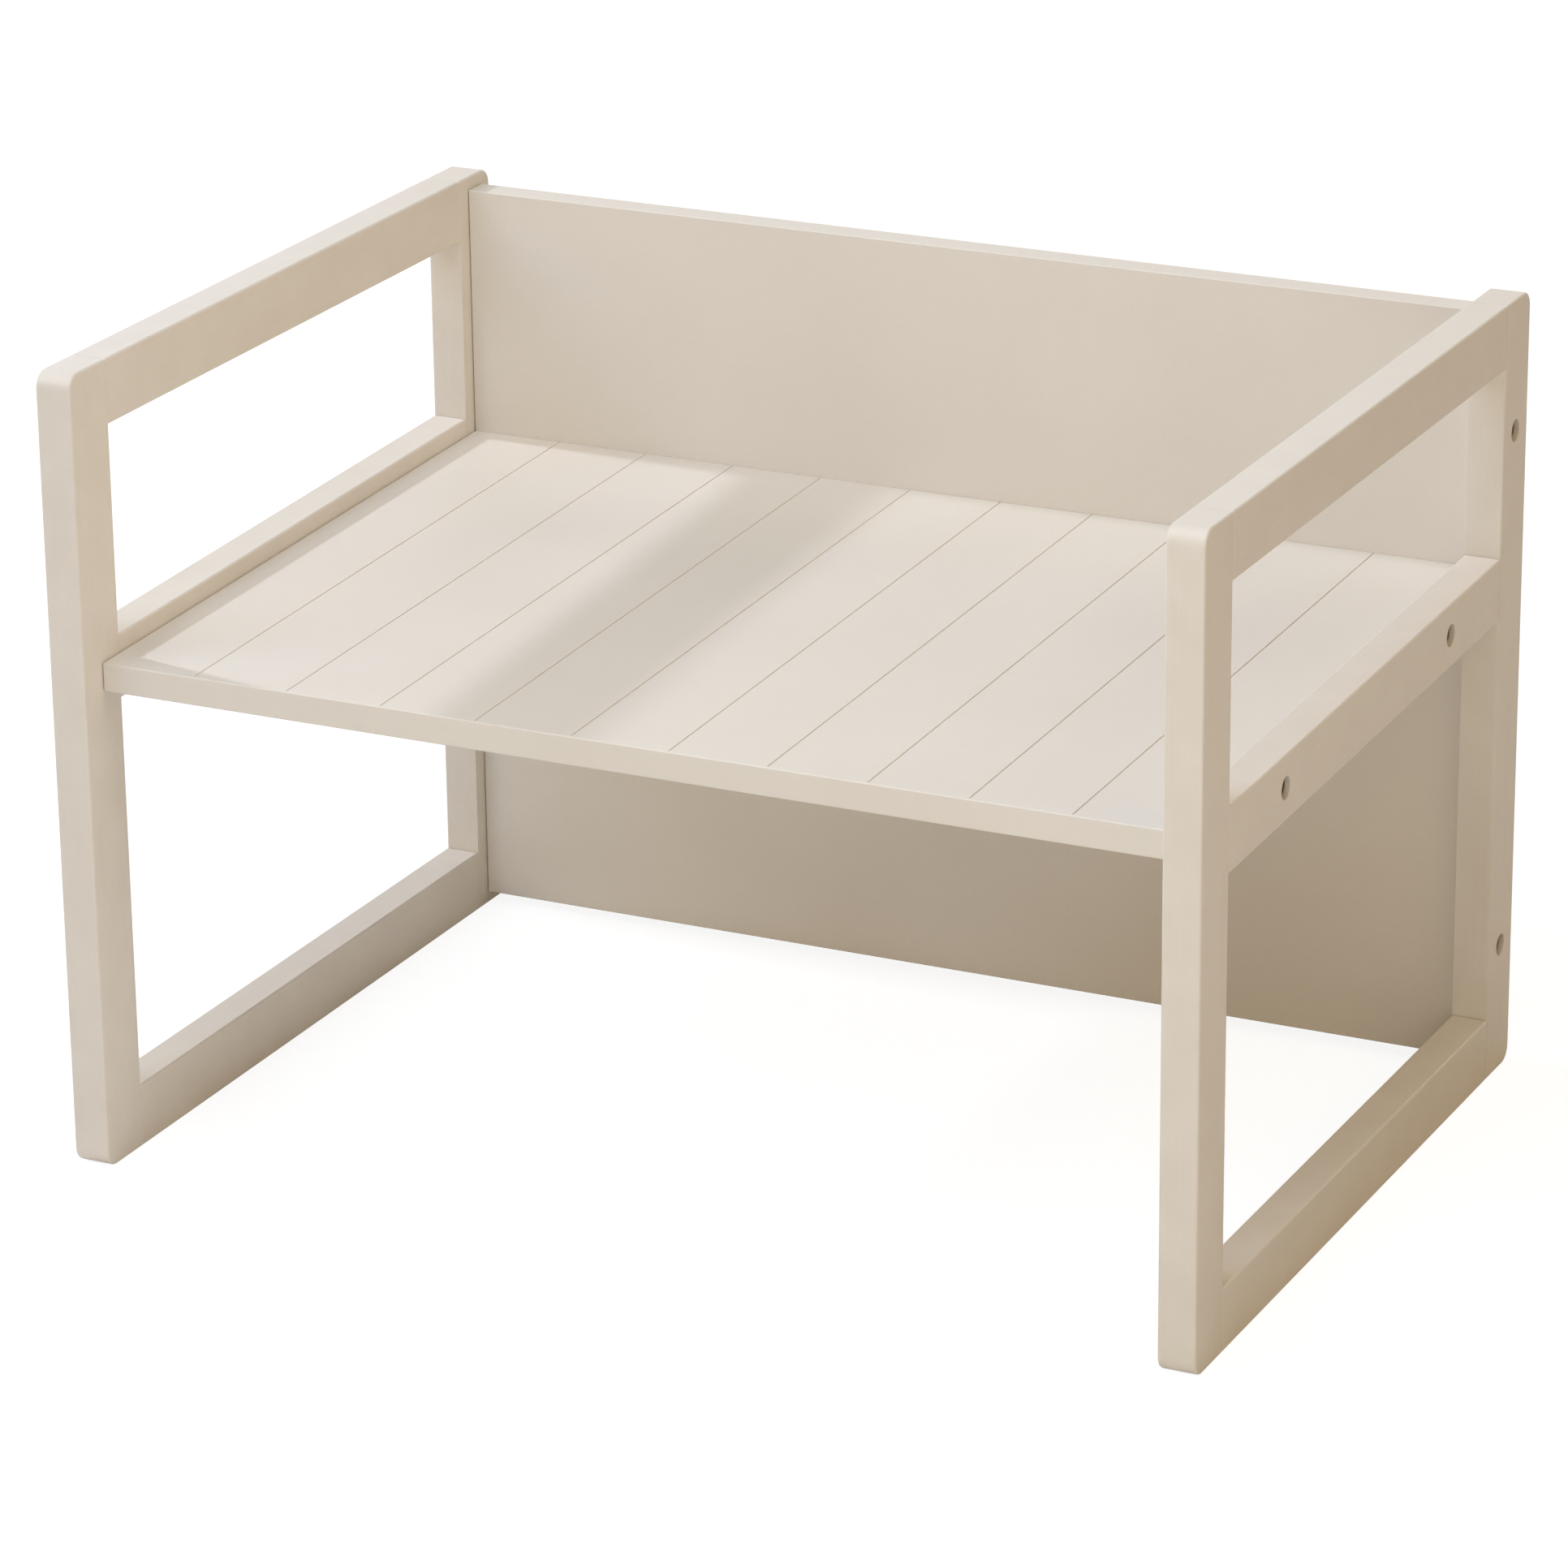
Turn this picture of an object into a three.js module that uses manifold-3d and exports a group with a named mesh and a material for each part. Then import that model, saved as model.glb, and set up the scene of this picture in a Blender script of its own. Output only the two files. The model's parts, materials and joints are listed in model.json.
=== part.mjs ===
// A child's reversible bench in lacquered wood. Two side frames of posts and rails hold a grooved
// seat board and a back panel between them. Turned over, it stands on its arm rails and the seat
// is low. Units are millimetres. +X is to the right as seen from the front, +Y is to the back and
// +Z is up. The origin is on the floor, in the middle of the bench.

import * as THREE from "three";
import { RoundedBoxGeometry } from "three/addons/geometries/RoundedBoxGeometry.js";
import { mergeVertices } from "three/addons/utils/BufferGeometryUtils.js";
import Module from "manifold-3d";

const wasm = await Module();
wasm.setup();

// Clear spaces, which set the overall size together with the bars
const betweenFrames = 618; // along X
const betweenPosts = 390; // along Y, in each side frame
const upperWindow = 112; // middle rail to top rail, halfway between the posts
const lowerWindow = 230; // bottom rail to middle rail, halfway between the posts
const seatRise = 10; // how much higher the middle rail is at the rear post than at the front post

// Bars of the side frames
const barThickness = 21; // along X
const barWidth = 36; // along Y in a post and along Z in a rail
const barEase = 1.25; // radius of the softened edges
const cornerRadius = 9; // outer corners of a side frame

// Seat board and back panel
const boardThickness = 16;
const boardEase = 1; // radius of the softened edges
const seatSetback = 18; // seat's front edge behind the front posts' front faces
const seatBackGap = 0.6; // seat's back edge to the back panel
const panelInset = 7.5; // panel's top and bottom edges inside the ends of the posts
const plankCount = 11; // strips that the seat's grooves mark out
const grooveWidth = 1.2;
const grooveDepth = 1;

// Dowels, in every joint of a rail and a post
const dowelDiameter = 8;
const dowelLength = 40;
const dowelChamfer = 1;
const dowelHeightShares = { lower: -0.25, upper: 0.25 }; // of the rail's width, from its middle

// Screws, through a frame into the end of a board
const screwHeadDiameter = 11.5;
const screwHeadHeight = 3.5;
const screwHeadEase = 0.5;
const screwRecess = 3.2; // top of the head below the bar's outer face
const screwShankLength = 46; // under the head
const screwThreadDiameter = 7;
const screwCoreDiameter = 5;
const screwThreadLength = 32;
const screwPitch = 4;
const screwTipDiameter = 3;
const socketAcrossFlats = 4; // hexagon socket
const socketDepth = 2.4;
const seatScrewInset = 76; // from the end of a middle rail
const panelScrewInset = 75; // from the end of a rear post

// Fits between pieces
const jointGap = 0.1; // flat faces that meet
const boreGap = 0.3; // round a dowel or a thread
const headGap = 0.5; // round a screw's head
const boreEndGap = 1; // past the end of a dowel or a screw
const overrun = 1; // how far a cutter passes the surface that it opens

// Facets of the round shapes
const easeSegments = 1;
const cornerSegments = 4;
const dowelSides = 10;
const screwSides = 12;

// Sizes that follow from the ones above
const overallDepth = betweenPosts + 2 * barWidth;
const overallHeight = lowerWindow + upperWindow + 3 * barWidth;
const frameOffset = (betweenFrames + barThickness) / 2;
const postOffset = (betweenPosts + barWidth) / 2;
const boardLength = betweenFrames - 2 * jointGap;
const middleRailHeight = barWidth + lowerWindow + barWidth / 2;
const seatSlope = seatRise / betweenPosts;
const seatFront = seatSetback - overallDepth / 2;
const seatBack = postOffset - boardThickness / 2 - seatBackGap;
const seatMiddle = (seatFront + seatBack) / 2;

const barLacquer = { color: 0xd9d0c3, roughness: 0.5, metalness: 0 };
const boardLacquer = { color: 0xd6cdbf, roughness: 0.45, metalness: 0 };
const rawBeech = { color: 0xd8b48a, roughness: 0.75, metalness: 0 };
const zincSteel = { color: 0xb9b9b4, roughness: 0.35, metalness: 1 };

// A closed geometry as a solid that can be cut.
function solidFrom(geometry) {
  const bare = geometry.clone();
  bare.deleteAttribute("normal");
  bare.deleteAttribute("uv");
  const merged = mergeVertices(bare);
  return new wasm.Manifold(
    new wasm.Mesh({
      numProp: 3,
      vertProperties: merged.attributes.position.array,
      triVerts: new Uint32Array(merged.index.array),
    }),
  );
}

// A solid back as a geometry with flat facets.
function geometryFrom(solid) {
  const { vertProperties, triVerts } = solid.getMesh();
  const indexed = new THREE.BufferGeometry();
  indexed.setAttribute("position", new THREE.BufferAttribute(vertProperties, 3));
  indexed.setIndex(new THREE.BufferAttribute(triVerts, 1));
  const geometry = indexed.toNonIndexed();
  geometry.computeVertexNormals();
  return geometry;
}

function namedMesh(name, geometry, finish) {
  const mesh = new THREE.Mesh(geometry, new THREE.MeshStandardMaterial(finish));
  mesh.name = name;
  return mesh;
}

// Cuts the bores of fasteners out of a piece, wherever both stand in the bench.
function drill(piece, fasteners) {
  piece.updateWorldMatrix(true, false);
  const worldToPiece = piece.matrixWorld.clone().invert();
  let solid = solidFrom(piece.geometry);
  for (const fastener of fasteners) {
    fastener.updateWorldMatrix(true, false);
    const bore = fastener.userData.bore.clone();
    bore.applyMatrix4(fastener.matrixWorld);
    bore.applyMatrix4(worldToPiece);
    solid = solid.subtract(solidFrom(bore));
  }
  piece.geometry = geometryFrom(solid);
}

// Slants a geometry like the seat, which rises to the back while its ends stay upright.
function slant(geometry, slope) {
  return geometry.applyMatrix4(new THREE.Matrix4().makeShear(0, 0, 0, slope, 0, 0));
}

// A post with its two rounded corners at +Y. Its outline in Y and Z is drawn smaller by the
// softened edge, which the bevel adds again.
function postGeometry() {
  const halfWidth = barWidth / 2 - barEase;
  const halfHeight = overallHeight / 2 - barEase;
  const radius = cornerRadius - barEase;
  const outline = new THREE.Shape();
  outline.moveTo(-halfWidth, -halfHeight);
  outline.lineTo(halfWidth - radius, -halfHeight);
  outline.absarc(halfWidth - radius, radius - halfHeight, radius, -Math.PI / 2, 0, false);
  outline.absarc(halfWidth - radius, halfHeight - radius, radius, 0, Math.PI / 2, false);
  outline.lineTo(-halfWidth, halfHeight);

  const coreThickness = barThickness - 2 * barEase;
  const geometry = new THREE.ExtrudeGeometry(outline, {
    depth: coreThickness,
    curveSegments: cornerSegments,
    bevelThickness: barEase,
    bevelSize: barEase,
    bevelSegments: easeSegments + 1,
  });
  geometry.translate(0, 0, -coreThickness / 2);
  const alongY = new THREE.Vector3(0, 1, 0);
  const alongZ = new THREE.Vector3(0, 0, 1);
  const alongX = new THREE.Vector3(1, 0, 0);
  return geometry.applyMatrix4(new THREE.Matrix4().makeBasis(alongY, alongZ, alongX));
}

// A rail that fits between two posts and climbs by the rise on the way back.
function railGeometry(rise) {
  const length = betweenPosts - 2 * jointGap;
  const bar = new RoundedBoxGeometry(barThickness, length, barWidth, easeSegments, barEase);
  return slant(bar, rise / betweenPosts);
}

// A V-shaped cutter along Y. Its tip lies one groove depth below the origin.
function grooveGeometry(length) {
  const outline = new THREE.Shape();
  outline.moveTo(0, -grooveDepth);
  outline.lineTo(grooveWidth / 2, 0);
  outline.lineTo(grooveWidth / 2, overrun);
  outline.lineTo(-grooveWidth / 2, overrun);
  outline.lineTo(-grooveWidth / 2, 0);
  const geometry = new THREE.ExtrudeGeometry(outline, { depth: length, bevelEnabled: false });
  return geometry.translate(0, 0, -length / 2).rotateX(Math.PI / 2);
}

function seatBoard() {
  const depth = seatBack - seatFront;
  const board = new RoundedBoxGeometry(boardLength, depth, boardThickness, easeSegments, boardEase);
  let solid = solidFrom(board);
  const plankWidth = boardLength / plankCount;
  for (let i = 1; i < plankCount; i++) {
    const groove = grooveGeometry(depth + 2 * overrun);
    groove.translate(i * plankWidth - boardLength / 2, 0, boardThickness / 2);
    solid = solid.subtract(solidFrom(groove));
  }
  const seat = namedMesh("seat_board", slant(geometryFrom(solid), seatSlope), boardLacquer);
  seat.position.set(0, seatMiddle, middleRailHeight + seatSlope * seatMiddle);
  return seat;
}

function backPanel() {
  const height = overallHeight - 2 * panelInset;
  const board = new RoundedBoxGeometry(boardLength, boardThickness, height, easeSegments, boardEase);
  const panel = namedMesh("back_panel", board, boardLacquer);
  panel.position.set(0, postOffset, overallHeight / 2);
  return panel;
}

// A dowel along Y, centred on the joint, with the bore that holds it.
function dowel(name) {
  const radius = dowelDiameter / 2;
  const halfLength = dowelLength / 2;
  const profile = [
    new THREE.Vector2(0, -halfLength),
    new THREE.Vector2(radius - dowelChamfer, -halfLength),
    new THREE.Vector2(radius, dowelChamfer - halfLength),
    new THREE.Vector2(radius, halfLength - dowelChamfer),
    new THREE.Vector2(radius - dowelChamfer, halfLength),
    new THREE.Vector2(0, halfLength),
  ];
  const mesh = namedMesh(name, new THREE.LatheGeometry(profile, dowelSides), rawBeech);
  const boreRadius = radius + boreGap;
  const boreLength = dowelLength + 2 * boreEndGap;
  mesh.userData.bore = new THREE.CylinderGeometry(boreRadius, boreRadius, boreLength, dowelSides);
  return mesh;
}

// A screw's profile from its tip up to its head. The head bears on the wood at height zero.
function screwProfile() {
  const profile = [
    new THREE.Vector2(0, -screwShankLength),
    new THREE.Vector2(screwTipDiameter / 2, -screwShankLength),
  ];
  const threadTurns = Math.floor(screwThreadLength / screwPitch) - 1;
  const threadTop = screwThreadLength - screwShankLength;
  for (let i = threadTurns; i > 0; i--) {
    profile.push(new THREE.Vector2(screwCoreDiameter / 2, threadTop - i * screwPitch));
    profile.push(new THREE.Vector2(screwThreadDiameter / 2, threadTop - (i - 1 / 2) * screwPitch));
  }
  profile.push(
    new THREE.Vector2(screwCoreDiameter / 2, threadTop),
    new THREE.Vector2(screwCoreDiameter / 2, 0),
    new THREE.Vector2(screwHeadDiameter / 2, 0),
    new THREE.Vector2(screwHeadDiameter / 2, screwHeadHeight - screwHeadEase),
    new THREE.Vector2(screwHeadDiameter / 2 - screwHeadEase, screwHeadHeight),
    new THREE.Vector2(0, screwHeadHeight),
  );
  return profile;
}

// The stepped bore that takes a screw: a wide part for the head and a narrow one for the thread.
function screwBoreGeometry() {
  const narrowRadius = screwThreadDiameter / 2 + boreGap;
  const wideRadius = screwHeadDiameter / 2 + headGap;
  const bottom = -screwShankLength - boreEndGap;
  const mouth = screwHeadHeight + screwRecess + overrun;
  const profile = [
    new THREE.Vector2(0, bottom),
    new THREE.Vector2(narrowRadius, bottom),
    new THREE.Vector2(narrowRadius, -jointGap),
    new THREE.Vector2(wideRadius, -jointGap),
    new THREE.Vector2(wideRadius, mouth),
    new THREE.Vector2(0, mouth),
  ];
  return new THREE.LatheGeometry(profile, screwSides);
}

// A screw whose head points to +Y, with the hexagon socket cut into the head.
function screw(name) {
  const body = solidFrom(new THREE.LatheGeometry(screwProfile(), screwSides));
  const socketRadius = socketAcrossFlats / Math.sqrt(3);
  const socketLength = socketDepth + overrun;
  const socket = new THREE.CylinderGeometry(socketRadius, socketRadius, socketLength, 6);
  socket.translate(0, screwHeadHeight - socketDepth + socketLength / 2, 0);
  const mesh = namedMesh(name, geometryFrom(body.subtract(solidFrom(socket))), zincSteel);
  mesh.userData.bore = screwBoreGeometry();
  return mesh;
}

// Posts, rails and dowels of one side frame, by name, inside a group of their own.
function sideFrame(sideName, side) {
  const frame = new THREE.Group();
  frame.position.x = side * frameOffset;

  const posts = { front: -1, rear: 1 };
  for (const [end, direction] of Object.entries(posts)) {
    const post = namedMesh(`${sideName}_${end}_post`, postGeometry(), barLacquer);
    post.position.set(0, direction * postOffset, overallHeight / 2);
    post.rotation.z = direction < 0 ? Math.PI : 0;
    frame.add(post);
  }

  const rails = {
    bottom: { height: barWidth / 2, rise: 0 },
    middle: { height: middleRailHeight, rise: seatRise },
    top: { height: overallHeight - barWidth / 2, rise: 0 },
  };
  for (const [level, { height, rise }] of Object.entries(rails)) {
    const rail = namedMesh(`${sideName}_${level}_rail`, railGeometry(rise), barLacquer);
    rail.position.z = height;
    frame.add(rail);

    for (const [end, direction] of Object.entries(posts)) {
      const dowels = Object.entries(dowelHeightShares).map(([place, share]) => {
        const pin = dowel(`${sideName}_${level}_rail_${end}_${place}_dowel`);
        pin.position.y = (direction * betweenPosts) / 2;
        pin.position.z = height + (direction * rise) / 2 + share * barWidth;
        return pin;
      });
      frame.add(...dowels);
      drill(rail, dowels);
      drill(frame.getObjectByName(`${sideName}_${end}_post`), dowels);
    }
  }
  return frame;
}

// Screws through one bar of a side frame into the end of a board. Places are depth and height.
function fixBoard(frame, side, bar, board, places) {
  for (const [place, [depth, height]] of Object.entries(places)) {
    const fixing = screw(`${bar.name}_${place}_screw`);
    const headFace = barThickness / 2 - screwRecess - screwHeadHeight;
    fixing.position.set(side * headFace, depth, height);
    fixing.rotation.z = (-side * Math.PI) / 2;
    frame.add(fixing);
    drill(bar, [fixing]);
    drill(board, [fixing]);
  }
}

const bench = new THREE.Group();
bench.name = "reversible_bench";
const seat = seatBoard();
const panel = backPanel();
bench.add(seat, panel);

const seatScrewDepth = betweenPosts / 2 - seatScrewInset;
const seatScrewPlaces = {
  front: [-seatScrewDepth, middleRailHeight - seatSlope * seatScrewDepth],
  rear: [seatScrewDepth, middleRailHeight + seatSlope * seatScrewDepth],
};
const panelScrewPlaces = {
  lower: [postOffset, panelScrewInset],
  upper: [postOffset, overallHeight - panelScrewInset],
};
for (const [sideName, side] of Object.entries({ left: -1, right: 1 })) {
  const frame = sideFrame(sideName, side);
  bench.add(frame);
  const middleRail = frame.getObjectByName(`${sideName}_middle_rail`);
  const rearPost = frame.getObjectByName(`${sideName}_rear_post`);
  fixBoard(frame, side, middleRail, seat, seatScrewPlaces);
  fixBoard(frame, side, rearPost, panel, panelScrewPlaces);
}

export default bench;
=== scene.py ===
# A child's reversible bench. Two side frames of lacquered beech bars hold a grooved seat board and
# a plain back panel, both of lacquered MDF. Recessed screws fix the boards, dowels join the bars.
# Metres, +X to the viewer's right, +Y to the back, +Z up, origin on the floor under the middle.

import json
import math
import bmesh
import bpy
from mathutils import Matrix, Vector


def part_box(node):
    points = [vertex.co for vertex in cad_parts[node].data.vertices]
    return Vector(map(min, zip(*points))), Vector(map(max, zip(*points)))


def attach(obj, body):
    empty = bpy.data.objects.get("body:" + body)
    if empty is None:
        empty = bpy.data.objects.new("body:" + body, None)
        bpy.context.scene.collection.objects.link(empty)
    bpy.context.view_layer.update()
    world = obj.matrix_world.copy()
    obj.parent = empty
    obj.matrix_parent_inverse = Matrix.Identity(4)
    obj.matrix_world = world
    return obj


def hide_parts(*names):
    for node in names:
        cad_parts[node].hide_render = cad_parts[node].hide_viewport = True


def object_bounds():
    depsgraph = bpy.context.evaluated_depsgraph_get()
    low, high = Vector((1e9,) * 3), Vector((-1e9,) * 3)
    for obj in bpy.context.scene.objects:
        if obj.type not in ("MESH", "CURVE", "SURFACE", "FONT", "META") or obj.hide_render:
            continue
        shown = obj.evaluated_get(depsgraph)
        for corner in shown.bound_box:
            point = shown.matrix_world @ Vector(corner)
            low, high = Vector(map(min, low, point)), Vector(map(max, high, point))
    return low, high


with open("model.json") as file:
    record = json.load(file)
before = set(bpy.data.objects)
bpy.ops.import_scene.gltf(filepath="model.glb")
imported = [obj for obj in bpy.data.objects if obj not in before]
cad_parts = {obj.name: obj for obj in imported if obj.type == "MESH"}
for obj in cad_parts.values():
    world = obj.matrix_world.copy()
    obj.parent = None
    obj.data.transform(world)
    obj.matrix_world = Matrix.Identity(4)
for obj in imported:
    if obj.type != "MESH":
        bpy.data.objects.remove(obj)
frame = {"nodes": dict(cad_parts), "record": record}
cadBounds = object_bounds()
mm = 0.001
tolerance = 0.01 * mm           # places closer than this are the same
sharpAngle = math.radians(40)   # faces that meet at more than this have an edge between them
print("frame loaded with", len(frame["nodes"]), "nodes")


# Helpers for materials

# sRGB hex to the linear colour that sockets take
def linearColour(hexColour):
    shares = [int(hexColour[i:i + 2], 16) / 255 for i in (1, 3, 5)]
    return [s / 12.92 if s <= 0.04045 else ((s + 0.055) / 1.055) ** 2.4 for s in shares] + [1]


# One node with its settings and links. A setting is an input, by name or number, or a property.
def addNode(tree, kind, settings={}, links={}):
    node = tree.nodes.new("ShaderNode" + kind)
    for name, value in settings.items():
        if isinstance(name, int) or name in node.inputs:
            node.inputs[name].default_value = value
        else:
            setattr(node, name, value)
    for name, socket in links.items():
        tree.links.new(socket, node.inputs[name])
    return node


# An empty material and its node tree
def emptyMaterial(name):
    material = bpy.data.materials.new(name)
    material.use_nodes = True
    material.node_tree.nodes.clear()
    return material, material.node_tree


# Object coordinates, moved on by the piece's own place so that no two pieces share a pattern
def pieceCoordinates(tree, apart=3.7):
    coordinates = addNode(tree, "TexCoord")
    info = addNode(tree, "ObjectInfo")
    shift = addNode(tree, "VectorMath", {"operation": "SCALE", "Scale": apart},
                    {0: info.outputs["Location"]})
    moved = addNode(tree, "VectorMath", {"operation": "ADD"},
                    {0: coordinates.outputs["Object"], 1: shift.outputs[0]})
    return moved.outputs[0]


# Noise whose features are about this wide and long, in metres, along the piece's own axes
def sizedNoise(tree, coordinates, width, length, detail):
    stretched = addNode(tree, "Mapping", {"Scale": (1 / width, 1 / width, 1 / length)},
                        {"Vector": coordinates})
    noise = addNode(tree, "TexNoise", {"Scale": 1, "Detail": detail, "Roughness": 0.5},
                    {"Vector": stretched.outputs[0]})
    return noise.outputs["Fac"]


# Spreads the middle of a noise over a range
def spread(tree, noise, low, high, middle=0.2):
    mapped = addNode(tree, "MapRange", {1: 0.5 - middle, 2: 0.5 + middle, 3: low, 4: high}, {0: noise})
    return mapped.outputs[0]


# From one sRGB colour to the other as a noise goes up
def colourBetween(tree, deep, pale, noise):
    mix = addNode(tree, "Mix", {"data_type": "RGBA", 6: linearColour(deep), 7: linearColour(pale)},
                  {0: noise})
    return mix.outputs[2]


# A relief of this height, on top of another one where there is one
def relief(tree, height, pattern, under=None):
    links = {"Height": pattern}
    if under:
        links["Normal"] = under
    return addNode(tree, "Bump", {"Distance": height}, links).outputs[0]


# The larger of two values
def larger(tree, first, second):
    return addNode(tree, "Math", {"operation": "MAXIMUM"}, {0: first, 1: second}).outputs[0]


# A principled shader as the material's surface
def addSurface(tree, settings, links):
    shader = addNode(tree, "BsdfPrincipled", settings, links)
    addNode(tree, "OutputMaterial", {}, {"Surface": shader.outputs[0]})


# Materials

glossIndex = 1.5                # refractive index of lacquer, and near enough that of wood

# Beech bars under an opaque satin lacquer: smooth and warm, with the lengthwise grain just telling
beechLook = {
    "pale": "#E0D8CC",
    "deep": "#DAD1C4",
    "fibreWidth": 1.6 * mm,     # beech fibres are finer, but these have to show from a step away
    "fibreLength": 70 * mm,
    "cloudSize": 26 * mm,       # where the lacquer lies a little thicker
    "cloudShare": 0.72,         # of the two patterns, the rest is fibres
    "stipple": 1.8 * mm,        # spray texture
    "stippleHeight": 0.01 * mm,
    "fibreHeight": 0.012 * mm,
    "roughness": (0.42, 0.52),
}


def lacqueredBeech(look):
    material, tree = emptyMaterial("lacquered beech")
    place = pieceCoordinates(tree)
    fibres = sizedNoise(tree, place, look["fibreWidth"], look["fibreLength"], detail=2)
    clouds = sizedNoise(tree, place, look["cloudSize"], look["cloudSize"], detail=3)
    stipple = sizedNoise(tree, place, look["stipple"], look["stipple"], detail=1)
    tone = addNode(tree, "Mix", {0: look["cloudShare"]},
                   {2: spread(tree, fibres, 0, 1), 3: spread(tree, clouds, 0, 1)})
    grain = relief(tree, look["fibreHeight"], fibres)
    addSurface(tree, {"IOR": glossIndex},
               {"Base Color": colourBetween(tree, look["deep"], look["pale"], tone.outputs[0]),
                "Roughness": spread(tree, clouds, *look["roughness"]),
                "Normal": relief(tree, look["stippleHeight"], stipple, grain)})
    return material


# MDF boards under the same satin lacquer: no grain, only a fine roller stipple and faint clouds
mdfLook = {
    "pale": "#E0D8CC",
    "deep": "#DCD3C6",
    "cloudSize": 90 * mm,
    "stipple": 2.2 * mm,        # a foam roller leaves about 1 mm, drawn coarser so that it shows
    "stippleShare": 0.3,        # of the two patterns, the rest is clouds
    "stippleHeight": 0.014 * mm,
    "roughness": (0.42, 0.5),
}


def lacqueredMdf(look):
    material, tree = emptyMaterial("lacquered MDF")
    place = pieceCoordinates(tree)
    clouds = sizedNoise(tree, place, look["cloudSize"], look["cloudSize"], detail=4)
    stipple = sizedNoise(tree, place, look["stipple"], look["stipple"], detail=2)
    tone = addNode(tree, "Mix", {0: look["stippleShare"]},
                   {2: spread(tree, clouds, 0, 1), 3: spread(tree, stipple, 0, 1)})
    addSurface(tree, {"IOR": glossIndex},
               {"Base Color": colourBetween(tree, look["deep"], look["pale"], tone.outputs[0]),
                "Roughness": spread(tree, clouds, *look["roughness"]),
                "Normal": relief(tree, look["stippleHeight"], stipple)})
    return material


# Burnished steel: a dark brownish metal, a little cloudy, with fine turning marks
steelLook = {
    "pale": "#75684F",
    "deep": "#473C29",
    "cloudSize": 2.5 * mm,
    "turningPitch": 0.35 * mm,
    "turningHeight": 0.01 * mm,
    "roughness": (0.28, 0.42),
}


def burnishedSteel(look):
    material, tree = emptyMaterial("burnished steel")
    place = pieceCoordinates(tree)
    clouds = sizedNoise(tree, place, look["cloudSize"], look["cloudSize"], detail=3)
    turning = sizedNoise(tree, place, look["turningPitch"], look["cloudSize"], detail=1)
    tone = spread(tree, clouds, 0, 1)
    addSurface(tree, {"Metallic": 1},
               {"Base Color": colourBetween(tree, look["deep"], look["pale"], tone),
                "Roughness": spread(tree, clouds, *look["roughness"]),
                "Normal": relief(tree, look["turningHeight"], turning)})
    return material


# Raw beech of the dowels and of the screw holes' walls: brownish tan with short dark flecks
rawBeechLook = {
    "pale": "#CFAC80",
    "deep": "#AE8558",
    "fibreWidth": 0.6 * mm,
    "fibreLength": 9 * mm,
    "fibreHeight": 0.05 * mm,
    "roughness": 0.7,
}


def rawBeech(look):
    material, tree = emptyMaterial("raw beech")
    coordinates = addNode(tree, "TexCoord")
    alongY = addNode(tree, "Mapping", {"Rotation": (math.radians(90), 0, 0)},
                     {"Vector": coordinates.outputs["Object"]})
    fibres = sizedNoise(tree, alongY.outputs[0], look["fibreWidth"], look["fibreLength"], detail=3)
    tone = spread(tree, fibres, 0, 1)
    addSurface(tree, {"IOR": glossIndex, "Roughness": look["roughness"]},
               {"Base Color": colourBetween(tree, look["deep"], look["pale"], tone),
                "Normal": relief(tree, look["fibreHeight"], fibres)})
    return material


# Painted highlight on the seams of the side frames: a fine pale colour on the eased edges of each
# joint, in place of the light that these edges catch
seamHighlightLook = {
    "pale": "#FFFCF5",
    "deep": "#F8F1E4",
    "mottleSize": 3 * mm,
    "grit": 0.4 * mm,
    "gritHeight": 0.01 * mm,
    "roughness": 0.5,
}


def paintedSeamHighlight(look):
    material, tree = emptyMaterial("joint filler")
    place = pieceCoordinates(tree)
    mottle = sizedNoise(tree, place, look["mottleSize"], look["mottleSize"], detail=3)
    grit = sizedNoise(tree, place, look["grit"], look["grit"], detail=1)
    tone = spread(tree, mottle, 0, 1)
    addSurface(tree, {"IOR": glossIndex, "Roughness": look["roughness"]},
               {"Base Color": colourBetween(tree, look["deep"], look["pale"], tone),
                "Normal": relief(tree, look["gritHeight"], grit)})
    return material


finishes = {
    "beech": lacqueredBeech(beechLook),
    "mdf": lacqueredMdf(mdfLook),
    "steel": burnishedSteel(steelLook),
    "rawBeech": rawBeech(rawBeechLook),
    # painted highlight for the seams of the side frames
    "filler": paintedSeamHighlight(seamHighlightLook),
}
print("materials made:", ", ".join(material.name for material in finishes.values()))


# Helpers for shapes

def newPiece(name, shape):
    bmesh.ops.recalc_face_normals(shape, faces=shape.faces)
    mesh = bpy.data.meshes.new(name)
    shape.to_mesh(mesh)
    shape.free()
    piece = bpy.data.objects.new(name, mesh)
    bpy.context.scene.collection.objects.link(piece)
    return piece


# A closed solid through rings of points that all have the same count
def loftedShape(rings, shape=None):
    shape = shape or bmesh.new()
    rings = [[shape.verts.new(point) for point in ring] for ring in rings]
    count = len(rings[0])
    shape.faces.new(rings[0])
    shape.faces.new(rings[-1])
    for lower, upper in zip(rings, rings[1:]):
        for i in range(count):
            j = (i + 1) % count
            shape.faces.new((lower[i], lower[j], upper[j], upper[i]))
    return shape


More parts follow.
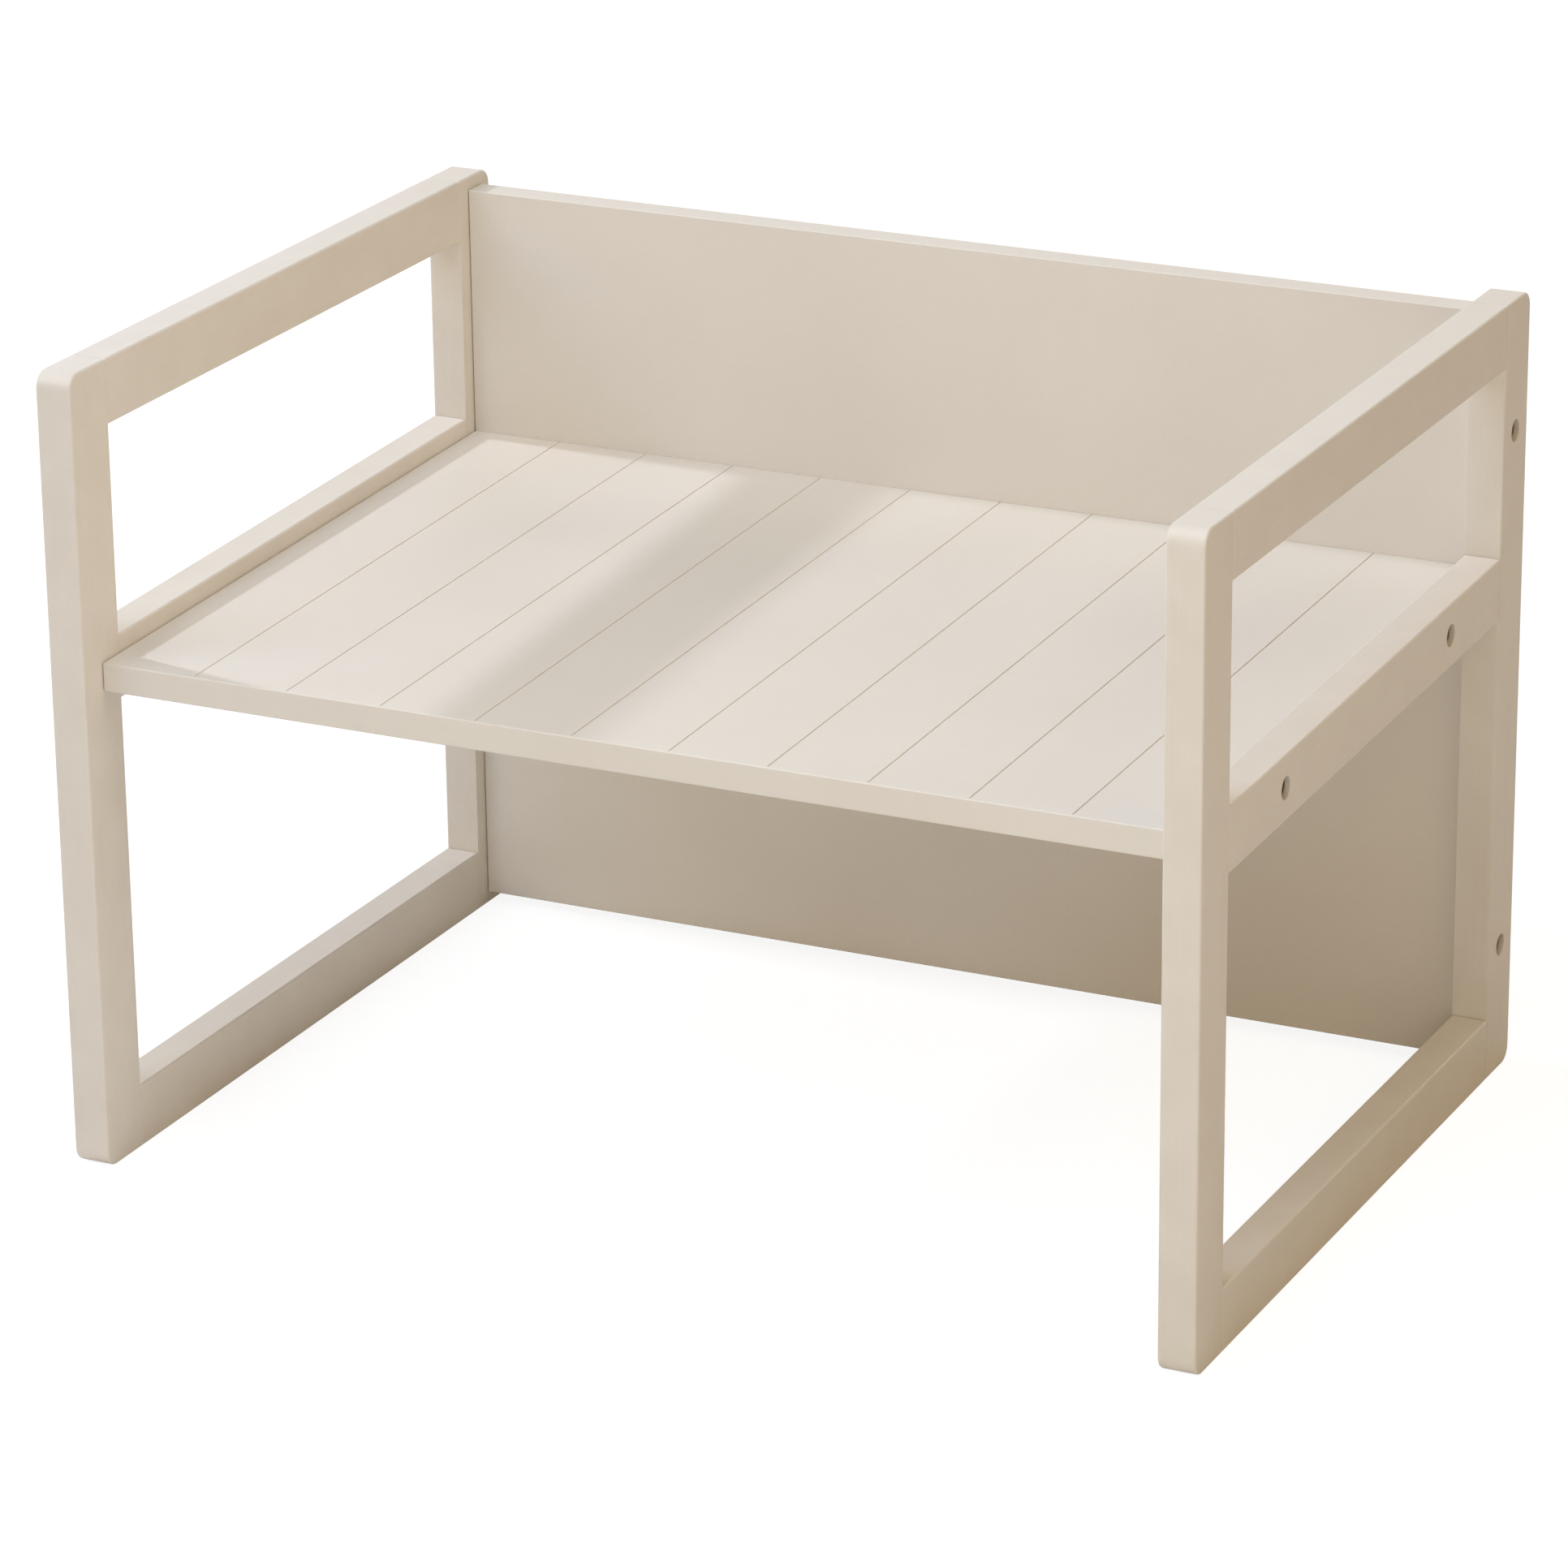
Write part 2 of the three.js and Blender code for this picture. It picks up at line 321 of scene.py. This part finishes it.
# A turned solid about Z from (radius, height) points that start and end on the axis. A ridge adds
# to the radius by angle and height, as a thread does.
def turnedShape(profile, sides, ridge=None, shape=None, place=Matrix.Identity(4)):
    shape = shape or bmesh.new()
    rings = []
    for radius, height in profile:
        ring = []
        for i in range(sides if radius > 0 else 1):
            angle = 2 * math.pi * i / sides
            reach = radius + (ridge(angle, height) if ridge and radius > 0 else 0)
            point = Vector((reach * math.cos(angle), reach * math.sin(angle), height))
            ring.append(shape.verts.new(place @ point))
        rings.append(ring)
    for lower, upper in zip(rings, rings[1:]):
        for i in range(sides):
            corners = [lower[i % len(lower)], lower[(i + 1) % len(lower)],
                       upper[(i + 1) % len(upper)], upper[i % len(upper)]]
            shape.faces.new(list(dict.fromkeys(corners)))
    return shape


# The mesh with its modifiers worked in
def bake(piece):
    evaluated = piece.evaluated_get(bpy.context.evaluated_depsgraph_get())
    mesh = bpy.data.meshes.new_from_object(evaluated)
    piece.modifiers.clear()
    piece.data = mesh


# Rounds the edges between faces that meet at an angle. The share makes an edge's radius smaller.
def ease(piece, radius, steps, share=lambda edge: 1):
    shape = bmesh.new()
    shape.from_mesh(piece.data)
    weight = shape.edges.layers.float.new("bevel_weight_edge")
    for edge in shape.edges:
        if edge.calc_face_angle() > sharpAngle:
            edge[weight] = share(edge)
    shape.to_mesh(piece.data)
    shape.free()
    bevel = piece.modifiers.new("eased edges", "BEVEL")
    bevel.width = radius
    bevel.segments = steps
    bevel.limit_method = "WEIGHT"
    bake(piece)


def cutAway(piece, cutterShape):
    cutter = newPiece("cutter", cutterShape)
    cut = piece.modifiers.new("cut", "BOOLEAN")
    cut.operation = "DIFFERENCE"
    cut.solver = "EXACT"
    cut.object = cutter
    bake(piece)
    bpy.data.objects.remove(cutter)


# Smooth curves between flat faces, with the normals of the wide faces kept flat
def smooth(piece):
    piece.data.shade_smooth()
    piece.data.set_sharp_from_angle(angle=sharpAngle)
    weighted = piece.modifiers.new("flat faces", "WEIGHTED_NORMAL")
    weighted.keep_sharp = True


# A place whose own Z points along an axis
def placeAlong(position, axis):
    turn = Vector((0, 0, 1)).rotation_difference(Vector(axis)).to_matrix().to_4x4()
    return Matrix.Translation(position) @ turn


# Gives a piece its own origin in its middle and its own Z along its length, then its finishes
def settle(piece, node, along, finishNames):
    place = placeAlong(middleAndSize(node)[0], along)
    piece.data.transform(place.inverted())
    piece.matrix_world = place
    piece.data.materials.clear()
    for name in finishNames:
        piece.data.materials.append(finishes[name])
    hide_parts(node)
    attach(piece, "root")


def pieceName(node):
    words = node.split("_")
    return words[0] + "".join(word.capitalize() for word in words[1:])


def middleAndSize(node):
    low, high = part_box(node)
    return (low + high) / 2, high - low


def touching(node, other):
    lowA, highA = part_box(node)
    lowB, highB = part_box(other)
    return all(lowA[i] < highB[i] and lowB[i] < highA[i] for i in range(3))


def arc(centre, radius, start, end, steps):
    angles = [math.radians(start + (end - start) * i / steps) for i in range(steps + 1)]
    return [(centre[0] + radius * math.cos(a), centre[1] + radius * math.sin(a)) for a in angles]


# Bores for the fasteners

bores = {
    "dowelGap": 0.3 * mm,       # round a dowel
    "endGap": 1 * mm,           # past the end of a dowel or a screw
    "threadGap": 0.3 * mm,
    "headGap": 0.5 * mm,
    "lip": 0.5 * mm,            # the lacquer rounds the mouth of a screw hole
    "lipSteps": 4,
    "dowelSides": 24,
    "screwSides": 48,
    "overrun": 1 * mm,
}
screws = {
    "headHeight": 3.5 * mm,
    "headEase": 0.5 * mm,
    "easeSteps": 4,
    "threadDiameter": 7 * mm,
    "coreDiameter": 5 * mm,
    "threadLength": 32 * mm,
    "threadRunOut": 2 * mm,     # where the thread starts and ends
    "pitch": 4 * mm,
    "ridgeShare": 0.6,          # of the pitch, the rest is plain core
    "stepsPerPitch": 10,
    "tipDiameter": 3 * mm,
    "socketAcrossFlats": 4 * mm,
    "socketDepth": 2.4 * mm,
    "socketChamfer": 0.3 * mm,
    "sides": 40,
}
dowelNodes = [node for node in frame["nodes"] if node.endswith("_dowel")]
screwNodes = [node for node in frame["nodes"] if node.endswith("_screw")]
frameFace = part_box("right_front_post")[1].x     # outer face of a side frame, from the middle


# A screw's place: its own Z points out of the bench, and zero is where its head bears
def screwPlace(node):
    low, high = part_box(node)
    middle = (low + high) / 2
    outward = 1 if middle.x > 0 else -1
    headTop = high.x if outward > 0 else low.x
    seat = Vector((headTop - outward * screws["headHeight"], middle.y, middle.z))
    return placeAlong(seat, (outward, 0, 0))


def shankLength(node):
    return middleAndSize(node)[1].x - screws["headHeight"]


def headRadius(node):
    return middleAndSize(node)[1].z / 2


def addDowelBore(node, shape):
    middle, size = middleAndSize(node)
    radius = max(size.x, size.z) / 2 + bores["dowelGap"]
    reach = size.y / 2 + bores["endGap"]
    turn = Matrix.Rotation(math.radians(90), 4, "X")
    turnedShape([(0, -reach), (radius, -reach), (radius, reach), (0, reach)],
                bores["dowelSides"], shape=shape, place=Matrix.Translation(middle) @ turn)


# Stepped bore: narrow round the thread, wide round the head, with a rounded mouth
def addScrewBore(node, shape):
    place = screwPlace(node)
    surface = frameFace - abs(place.translation.x)
    bottom = -shankLength(node) - bores["endGap"]
    narrow = screws["threadDiameter"] / 2 + bores["threadGap"]
    wide = headRadius(node) + bores["headGap"]
    lip = bores["lip"]
    mouth = arc((wide + lip, surface - lip), lip, 180, 90, bores["lipSteps"])
    top = surface + bores["overrun"]
    profile = [(0, bottom), (narrow, bottom), (narrow, 0), (wide, 0)]
    profile += mouth + [(wide + lip, top), (0, top)]
    turnedShape(profile, bores["screwSides"], shape=shape, place=place)


def addBores(node, shape):
    for dowel in dowelNodes:
        if touching(node, dowel):
            addDowelBore(dowel, shape)
    for screw in screwNodes:
        if touching(node, screw):
            addScrewBore(screw, shape)


# The walls of a bar's screw holes, under their lacquered mouths, are raw wood: its second finish
def bareBores(bar, node):
    for screw in screwNodes:
        if not touching(node, screw):
            continue
        place = screwPlace(screw)
        mouth = frameFace - abs(place.translation.x) - bores["lip"]
        reach = headRadius(screw) + bores["headGap"] + bores["lip"] / 2
        for polygon in bar.data.polygons:
            x, y, height = place.inverted() @ polygon.center
            if math.hypot(x, y) < reach and height < mouth:
                polygon.material_index = 1


# Side frames

bars = {
    "ease": 1.25 * mm,          # radius of the softened edges
    "easeSteps": 4,
    "seamShare": 0.95,          # of that radius, on edges in a joint
    "filledShare": 0.12,        # the same on inner faces, where lacquer fills the seam
    "leaning": (0.1, 0.99),     # how far along Y a face of a seam looks, between flat and end face
    "cornerRadius": 9 * mm,     # outer corners of a side frame
    "cornerSteps": 14,
}
railHeight = middleAndSize("left_front_post")[1].y  # rails are as high as the posts are deep
seatMount = next(mount for mount in frame["record"]["mounts"] if mount["name"] == "seat_top")
seatSlope = -seatMount["axis"][1] / seatMount["axis"][2]


# A post's outline in Y and Z, with its outer corners rounded
def postOutline(low, high, outward):
    radius = bars["cornerRadius"]
    outer = high.y if outward > 0 else low.y
    inner = low.y if outward > 0 else high.y
    centre = outer - outward * radius
    lower = arc((0, low.z + radius), radius, -90, 0, bars["cornerSteps"])
    upper = arc((0, high.z - radius), radius, 0, 90, bars["cornerSteps"])
    rounded = [(centre + outward * y, z) for y, z in lower + upper]
    return [(inner, low.z)] + rounded + [(inner, high.z)]


# Outline of a rail or board that climbs to the back while its ends stay upright
def climbingOutline(node, height, slope):
    middle, size = middleAndSize(node)
    run = size.y / 2
    lift = slope * run
    half = height / 2
    return [(middle.y - run, middle.z - lift - half), (middle.y + run, middle.z + lift - half),
            (middle.y + run, middle.z + lift + half), (middle.y - run, middle.z - lift + half)]


def extrude(name, outline, low, high):
    return newPiece(name, loftedShape([[(x, y, z) for y, z in outline] for x in (low.x, high.x)]))


# The share of the edge radius, for a bar whose joints lie in these planes of Y
def jointShare(planes):
    def share(edge):
        start, end = (vertex.co for vertex in edge.verts)
        if not any(abs(start.y - y) + abs(end.y - y) < tolerance for y in planes):
            return 1
        inside = max(abs(start.x), abs(end.x)) < frameFace - tolerance
        return bars["filledShare"] if inside else bars["seamShare"]

    return share


# The eased edges round a joint get a painted highlight, a fine pale line in place of the light they
# catch: the bar's third finish
def paintSeamHighlights(bar, joints):
    flattest, steepest = bars["leaning"]
    for polygon in bar.data.polygons:
        fromJoint = min(abs(polygon.center.y - y) for y in joints)
        # faces of the eased edges at a joint take the painted seam highlight
        if fromJoint < bars["ease"] and flattest < abs(polygon.normal.y) < steepest:
            polygon.material_index = 2


def makeBar(node, outline, along, joints):
    low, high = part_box(node)
    bar = extrude(pieceName(node), outline, low, high)
    ease(bar, bars["ease"], bars["easeSteps"], jointShare(joints))
    holes = bmesh.new()
    addBores(node, holes)
    cutAway(bar, holes)
    smooth(bar)
    bareBores(bar, node)
    paintSeamHighlights(bar, joints)
    # the third finish is the painted seam highlight
    settle(bar, node, along, ["beech", "rawBeech", "filler"])


for side in ("left", "right"):
    for end, outward in (("front", -1), ("rear", 1)):
        node = f"{side}_{end}_post"
        low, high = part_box(node)
        joints = [low.y if outward > 0 else high.y]
        makeBar(node, postOutline(low, high, outward), (0, 0, 1), joints)
    for level, slope in (("bottom", 0), ("middle", seatSlope), ("top", 0)):
        node = f"{side}_{level}_rail"
        outline = climbingOutline(node, railHeight, slope)
        ends = [corner.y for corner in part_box(node)]
        makeBar(node, outline, (0, 1, 0), ends)
    print(side, "side frame made")


# Seat board

seatBoard = {
    "ease": 1 * mm,
    "easeSteps": 4,
    "backShare": 0.2,           # of that radius, on the edges at the back panel
    "backReach": 0.5 * mm,      # almost to the panel, because the photo shows no gap there
    "endGap": 0.3 * mm,         # a fine dark seam against the side frames
    "planks": 11,               # strips that the grooves mark out
    "grooveWidth": 0.8 * mm,
    "grooveFloor": 0.3 * mm,    # width at the bottom
    "grooveDepth": 0.9 * mm,
    "grooveLip": 0.2 * mm,      # lacquer rounds the lips
    "lipSteps": 3,
    "frontRamp": 1.2 * mm,      # the cutter lifts out just short of the front edge
    "overrun": 0.5 * mm,
}
boardThickness = middleAndSize("back_panel")[1].y


# A groove's section, as (distance from its middle, height)
def grooveSection(look):
    half = look["grooveWidth"] / 2
    lip = look["grooveLip"]
    side = [(half + lip, look["overrun"])]
    side += arc((half + lip, -lip), lip, 90, 180, look["lipSteps"])
    side.append((look["grooveFloor"] / 2, -look["grooveDepth"]))
    return [(-x, z) for x, z in side] + list(reversed(side))


# Cutters for the grooves, which follow the slope of the seat
def grooveCutters(low, high, look):
    middle = (low + high) / 2
    section = grooveSection(look)
    stations = [(low.y, 2 * look["grooveDepth"]), (low.y + 2 * look["frontRamp"], 0),
                (high.y + look["backReach"] + look["overrun"], 0)]
    plank = (high.x - low.x) / look["planks"]
    cutters = bmesh.new()
    for i in range(1, look["planks"]):
        rings = []
        for y, lift in stations:
            top = middle.z + seatSlope * (y - middle.y) + boardThickness / 2 + lift
            rings.append([(low.x + i * plank + x, y, top + z) for x, z in section])
        loftedShape(rings, cutters)
    return cutters


def makeSeat(look):
    node = "seat_board"
    low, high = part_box(node)
    middle = (low + high) / 2
    endGap = Vector((look["endGap"], 0, 0))
    outline = climbingOutline(node, boardThickness, seatSlope)
    seat = extrude(pieceName(node), outline, low + endGap, high - endGap)
    for vertex in seat.data.vertices:
        if vertex.co.y > middle.y:
            vertex.co += look["backReach"] * Vector((0, 1, seatSlope))

    def share(edge):
        atBack = all(vertex.co.y > middle.y for vertex in edge.verts)
        return look["backShare"] if atBack else 1

    ease(seat, look["ease"], look["easeSteps"], share)
    cutters = grooveCutters(low, high, look)
    addBores(node, cutters)
    cutAway(seat, cutters)
    smooth(seat)
    settle(seat, node, (0, 1, 0), ["mdf"])


makeSeat(seatBoard)
print("seat board made")


# Back panel

backPanel = {
    "ease": 0.8 * mm,
    "easeSteps": 4,
    "endGap": 0.3 * mm,
}


def makePanel(look):
    node = "back_panel"
    low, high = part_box(node)
    outline = [(low.y, low.z), (high.y, low.z), (high.y, high.z), (low.y, high.z)]
    endGap = Vector((look["endGap"], 0, 0))
    panel = extrude(pieceName(node), outline, low + endGap, high - endGap)
    ease(panel, look["ease"], look["easeSteps"])
    holes = bmesh.new()
    addBores(node, holes)
    cutAway(panel, holes)
    smooth(panel)
    settle(panel, node, (0, 0, 1), ["mdf"])


makePanel(backPanel)
print("back panel made")


# Screws, with a helical thread and a hexagon socket

# A coarse V thread by angle and height that runs in and out at its ends
def threadRidge(bottom, look):
    deepest = (look["threadDiameter"] - look["coreDiameter"]) / 2
    halfRidge = look["ridgeShare"] / 2

    def ridge(angle, height):
        climbed = height - bottom
        if not 0 < climbed < look["threadLength"]:
            return 0
        phase = (climbed / look["pitch"] - angle / (2 * math.pi)) % 1
        crest = max(0, 1 - abs(phase - 0.5) / halfRidge)
        fromEnd = min(climbed, look["threadLength"] - climbed)
        return deepest * crest * min(1, fromEnd / look["threadRunOut"])

    return ridge


# Half outline of a screw as (radius, height) points, from the tip's middle to the head's
def screwProfile(head, bottom, look):
    core = look["coreDiameter"] / 2
    eased = look["headEase"]
    steps = round(look["threadLength"] / look["pitch"] * look["stepsPerPitch"])
    profile = [(0, bottom), (look["tipDiameter"] / 2, bottom)]
    profile += [(core, bottom + look["threadLength"] * (i + 1) / steps) for i in range(steps)]
    profile += [(core, 0), (head, 0)]
    profile += arc((head - eased, look["headHeight"] - eased), eased, 0, 90, look["easeSteps"])
    profile.append((0, look["headHeight"]))
    return profile


# Cutter for the hexagon socket, which widens at its mouth
def socketShape(place, look):
    inner = look["socketAcrossFlats"] / math.sqrt(3)
    outer = inner + look["socketChamfer"]
    top = look["headHeight"]
    levels = [(inner, top - look["socketDepth"]), (inner, top - look["socketChamfer"]),
              (outer, top), (outer, top + look["headEase"])]
    corners = [math.radians(60 * i) for i in range(6)]
    rings = []
    for radius, height in levels:
        ring = [Vector((radius * math.cos(a), radius * math.sin(a), height)) for a in corners]
        rings.append([place @ point for point in ring])
    return loftedShape(rings)


def makeScrew(node, look):
    place = screwPlace(node)
    bottom = -shankLength(node)
    profile = screwProfile(headRadius(node), bottom, look)
    shape = turnedShape(profile, look["sides"], threadRidge(bottom, look), place=place)
    screw = newPiece(pieceName(node), shape)
    cutAway(screw, socketShape(place, look))
    smooth(screw)
    settle(screw, node, (1, 0, 0), ["steel"])


for node in screwNodes:
    makeScrew(node, screws)
print(len(screwNodes), "screws made")

for node in dowelNodes:
    frame["nodes"][node].material_slots[0].material = finishes["rawBeech"]
print(len(dowelNodes), "dowels finished")


# Floor, light and camera

floorLook = {
    "reach": 9,
    "sides": 64,
    "colour": "#F4F3F1",
    "mottle": "#F1F0EE",
    "mottleSize": 0.4,
    "contact": 1 * mm,          # faces this near to it get the light from below
    "shadowShare": 0.35,        # how much of its light and shadow the camera sees, as
    "glow": "#ECEDEE",          # this is added for the camera, so that the lit floor reads white
}


# Matt white floor paint. It is clear from below, so that the underside can be looked at, and clear
# to light that leaves a face resting on it, so that this face isn't black.
def floorPaint(look):
    material, tree = emptyMaterial("matt floor paint")
    coordinates = addNode(tree, "TexCoord").outputs["Object"]
    mottle = sizedNoise(tree, coordinates, look["mottleSize"], look["mottleSize"], detail=2)
    colour = colourBetween(tree, look["mottle"], look["colour"], spread(tree, mottle, 0, 1))
    path = addNode(tree, "LightPath").outputs
    share = addNode(tree, "MapRange", {3: 1, 4: look["shadowShare"]}, {0: path["Is Camera Ray"]})
    shaded = addNode(tree, "VectorMath", {"operation": "SCALE"}, {0: colour, "Scale": share.outputs[0]})
    matt = addNode(tree, "BsdfDiffuse", {"Roughness": 1}, {"Color": shaded.outputs[0]})
    glow = addNode(tree, "Emission", {"Color": linearColour(look["glow"])},
                   {"Strength": path["Is Camera Ray"]})
    seen = addNode(tree, "AddShader", {}, {0: matt.outputs[0], 1: glow.outputs[0]})
    near = addNode(tree, "Math", {"operation": "LESS_THAN", 1: look["contact"]},
                   {0: path["Ray Length"]})
    under = addNode(tree, "Math", {"operation": "MULTIPLY"},
                    {0: near.outputs[0], 1: path["Is Diffuse Ray"]})
    side = addNode(tree, "NewGeometry")
    through = larger(tree, side.outputs["Backfacing"], under.outputs[0])
    clear = addNode(tree, "BsdfTransparent")
    both = addNode(tree, "MixShader", {}, {0: through, 1: seen.outputs[0], 2: clear.outputs[0]})
    addNode(tree, "OutputMaterial", {}, {"Surface": both.outputs[0]})
    return material


def studioFloor(look):
    shape = bmesh.new()
    bmesh.ops.create_circle(shape, cap_ends=True, segments=look["sides"], radius=look["reach"])
    floor = newPiece("floor", shape)
    if floor.data.polygons[0].normal.z < 0:
        floor.data.flip_normals()
    floor.data.materials.append(floorPaint(look))


studioFloor(floorLook)

ambient = {
    "colour": "#FFDA95",
    "strength": 0.12,
}


# Warm even light from all round, and a plain white background for the camera and in reflections
def studioWorld(look):
    world = bpy.data.worlds.new("studio")
    bpy.context.scene.world = world
    world.use_nodes = True
    tree = world.node_tree
    tree.nodes.clear()
    path = addNode(tree, "LightPath").outputs
    seen = larger(tree, larger(tree, path["Is Camera Ray"], path["Is Glossy Ray"]),
                  path["Is Transmission Ray"])
    soft = addNode(tree, "Background",
                   {"Color": linearColour(look["colour"]), "Strength": look["strength"]})
    white = addNode(tree, "Background", {"Color": (1, 1, 1, 1), "Strength": 1})
    both = addNode(tree, "MixShader", {}, {0: seen, 1: soft.outputs[0], 2: white.outputs[0]})
    addNode(tree, "OutputWorld", {}, {"Surface": both.outputs[0]})


studioWorld(ambient)

# Soft boxes, each looking at the middle of the bench. Azimuth 0 is in front, 90 is on the right.
# Their levels and colours are set so that each face of the bench comes out as bright and as warm
# as in the photo. The hard key lamp throws the arm rail's shadow over the seat. It makes no glare,
# which would burn out the tops when they are seen against it.
lamps = {
    "keyLamp": {"azimuth": -95.1, "elevation": 29.85, "distance": 3.2, "size": 0.16,
                "colour": "#E2ECFF", "watts": 53, "glare": False},
    "leftLamp": {"azimuth": -65, "elevation": 30, "distance": 3.2, "size": 2.4,
                 "colour": "#FFE8C4", "watts": 18.5},
    "frontLamp": {"azimuth": -35, "elevation": 45, "distance": 3.2, "size": 2,
                  "colour": "#D2E4FF", "watts": 33.5},
    "lowLamp": {"azimuth": 20, "elevation": 3, "distance": 1.6, "size": 0.8,
                "colour": "#FFFEF6", "watts": 5.7},
    "rightLamp": {"azimuth": 80, "elevation": 60, "distance": 3.2, "size": 3.2,
                  "colour": "#FFFFF4", "watts": 21},
    "sideLamp": {"azimuth": 70, "elevation": 35, "distance": 3.2, "size": 3.2,
                 "colour": "#FFC66E", "watts": 15},
    "topLamp": {"azimuth": 10, "elevation": 75, "distance": 1.5, "size": 0.8,
                "colour": "#CCE3FF", "watts": 6.4},
    "backLamp": {"azimuth": 168, "elevation": 28, "distance": 3.2, "size": 2.2,
                 "colour": "#FFEDCB", "watts": 12},
}
benchMiddle = (cadBounds[0] + cadBounds[1]) / 2


def direction(azimuth, elevation):
    a, e = math.radians(azimuth), math.radians(elevation)
    return Vector((math.sin(a) * math.cos(e), -math.cos(a) * math.cos(e), math.sin(e)))


def softBox(name, look):
    light = bpy.data.lights.new(name, "AREA")
    light.shape = "DISK"
    light.size = look["size"]
    light.energy = look["watts"]
    light.color = linearColour(look["colour"])[:3]
    lamp = bpy.data.objects.new(name, light)
    bpy.context.scene.collection.objects.link(lamp)
    away = direction(look["azimuth"], look["elevation"])
    lamp.location = benchMiddle + away * look["distance"]
    lamp.rotation_euler = away.to_track_quat("Z", "Y").to_euler()
    lamp.visible_camera = False
    lamp.visible_glossy = look.get("glare", True)


for name, look in lamps.items():
    softBox(name, look)
print("light set")

# The photo's camera, as fitted to the straight edges of the bench
photoCamera = {
    "lens": 148.96,
    "sensor": 36,
    "clip": (0.1, 50),
    "azimuth": 26.02,
    "elevation": 20.35,
    "roll": -0.65,
    "distance": 3.5236,
    "aim": (-2.6 * mm, -14.8 * mm, 197.3 * mm),
}


def addCamera(look):
    data = bpy.data.cameras.new("photoCamera")
    data.lens = look["lens"]
    data.sensor_width = look["sensor"]
    data.clip_start, data.clip_end = look["clip"]
    camera = bpy.data.objects.new("photoCamera", data)
    bpy.context.scene.collection.objects.link(camera)
    camera.rotation_euler = (math.radians(90 - look["elevation"]), 0, math.radians(look["azimuth"]))
    turned = camera.rotation_euler.to_matrix() @ Matrix.Rotation(math.radians(look["roll"]), 3, "Z")
    camera.rotation_euler = turned.to_euler()
    away = direction(look["azimuth"], look["elevation"])
    camera.location = Vector(look["aim"]) + away * look["distance"]
    bpy.context.scene.camera = camera


addCamera(photoCamera)
bpy.context.scene.view_settings.view_transform = "Standard"
print("camera set")
